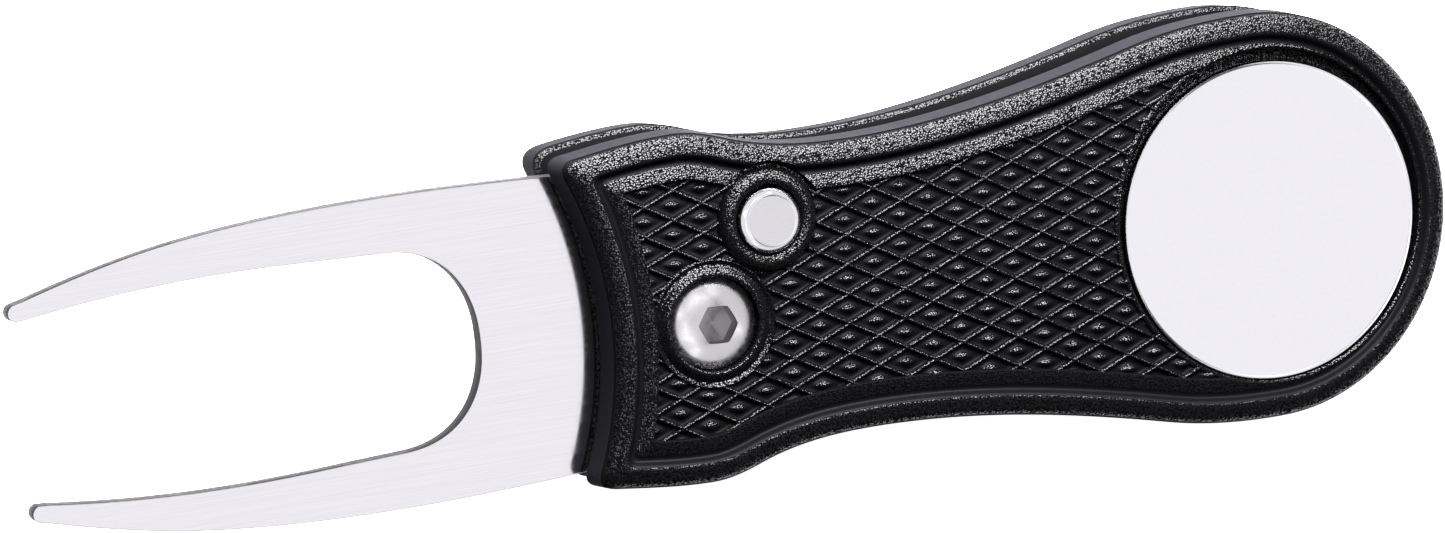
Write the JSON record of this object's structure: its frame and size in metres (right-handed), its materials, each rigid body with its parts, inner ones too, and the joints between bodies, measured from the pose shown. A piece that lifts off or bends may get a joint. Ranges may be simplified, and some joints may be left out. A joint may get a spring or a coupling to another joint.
{
  "type": "divot repair tool",
  "caption": "Folding golf divot repair tool: two-prong steel fork that swings out of a waisted black handle, with a release button and a round magnetic ball marker.",
  "frame": {"origin": "middle of the open tool's bounding box, on the plane of the back face that it lies on", "axes": "+X along the tool from the fork's tips towards the handle's round end, +Z out of the front face with the ball marker, +Y across the handle, the button's side of the pivot"},
  "size_m": [0.1156, 0.032, 0.0124],
  "materials": {
    "black_moulding": "pebble-grained moulding with satin side walls and a raised diamond grid",
    "brushed_steel": "long fine brushing along the fork",
    "screw_steel": "turned, polished dome",
    "turned_steel": "turned satin",
    "spring_steel": "drawn wire",
    "button_steel": "bead-blasted face with a polished chamfer",
    "marker_silver": "fine satin with a bright rim",
    "magnet_nickel": "nickel plated"
  },
  "bodies": {
    "handle": {"front_scale": "black_moulding", "back_scale": "black_moulding", "rear_post_lower": "turned_steel", "rear_post_upper": "turned_steel", "rear_screw_lower": "screw_steel", "rear_screw_upper": "screw_steel", "pivot_screw": "screw_steel", "pivot_barrel_nut": "screw_steel", "washer_front": "turned_steel", "washer_back": "turned_steel", "spring_sleeve": "turned_steel", "torsion_spring": "spring_steel", "button_spring": "spring_steel", "stop_pin": "turned_steel", "marker_magnet": "magnet_nickel"},
    "fork": {"fork_blade": "brushed_steel"},
    "button": {"release_button": "button_steel"},
    "marker": {"ball_marker": "marker_silver"}
  },
  "joints": [
    {"name": "fork_hinge", "type": "hinge", "parent": "handle", "child": "fork", "pos_m": [-0.0043, -0.00157, 0.0072], "axis": [0, 0, 1], "range_deg": [0, 182], "stiffness_Nm_per_rad": 0.02, "springref_deg": -57.3, "deforming": ["torsion_spring"]},
    {"name": "button_press", "type": "slide", "parent": "handle", "child": "button", "axis": [0, 0, -1], "range_m": [0, 0.002], "stiffness_N_per_m": 100, "springref_m": -0.01, "deforming": ["button_spring"]},
    {"name": "marker_lift", "type": "slide", "parent": "handle", "child": "marker", "axis": [0, 0, 1], "range_m": [0, 0.015]}
  ]
}
